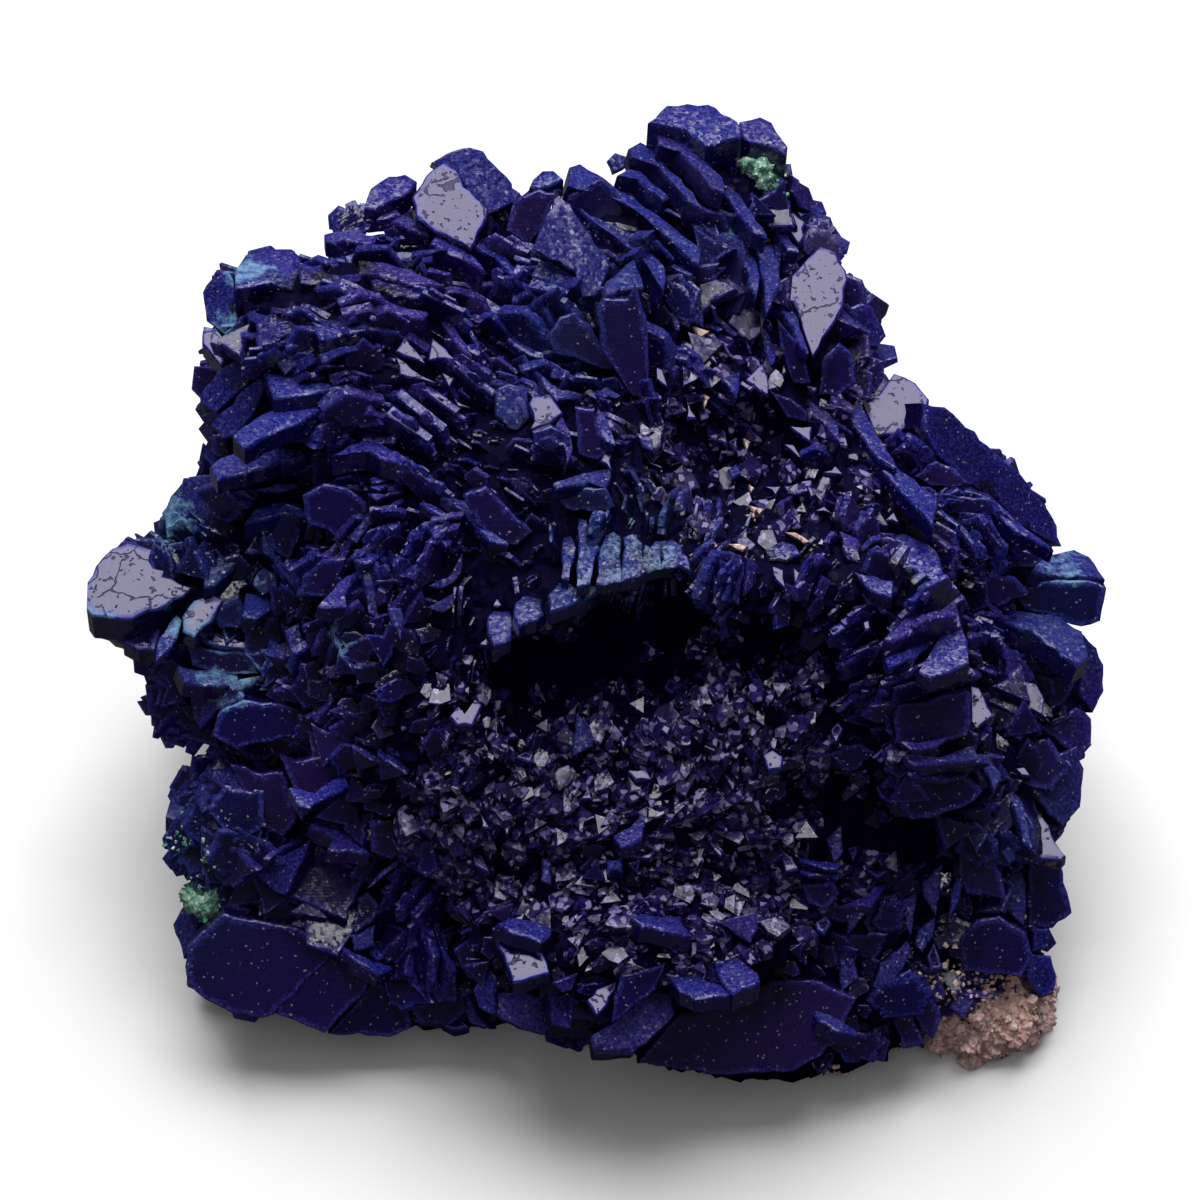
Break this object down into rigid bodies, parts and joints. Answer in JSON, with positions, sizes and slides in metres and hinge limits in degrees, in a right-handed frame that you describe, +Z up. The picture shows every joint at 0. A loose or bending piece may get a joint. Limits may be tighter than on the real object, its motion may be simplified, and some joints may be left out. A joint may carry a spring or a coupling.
{
  "type": "azurite specimen",
  "caption": "Loose cluster of intergrown azurite blades with a corner of host rock and small malachite crusts, resting on a flat break",
  "frame": {"origin": "on the flat break the specimen stands on, below the middle of the cluster", "axes": "+Z up from the break, +X along the long side seen from the show side, +Y towards the back; the show side faces -Y and leans back"},
  "size_m": [0.0531, 0.0469, 0.0351],
  "materials": {
    "azurite": "glossy crystal faces, satin and dusty edges",
    "host_rock": "matte granular rock",
    "malachite": "matte powdery crust"
  },
  "bodies": {
    "root": {"azurite_cluster": "azurite", "matrix_corner": "host_rock", "malachite_peak": "malachite", "malachite_left": "malachite"}
  },
  "joints": []
}
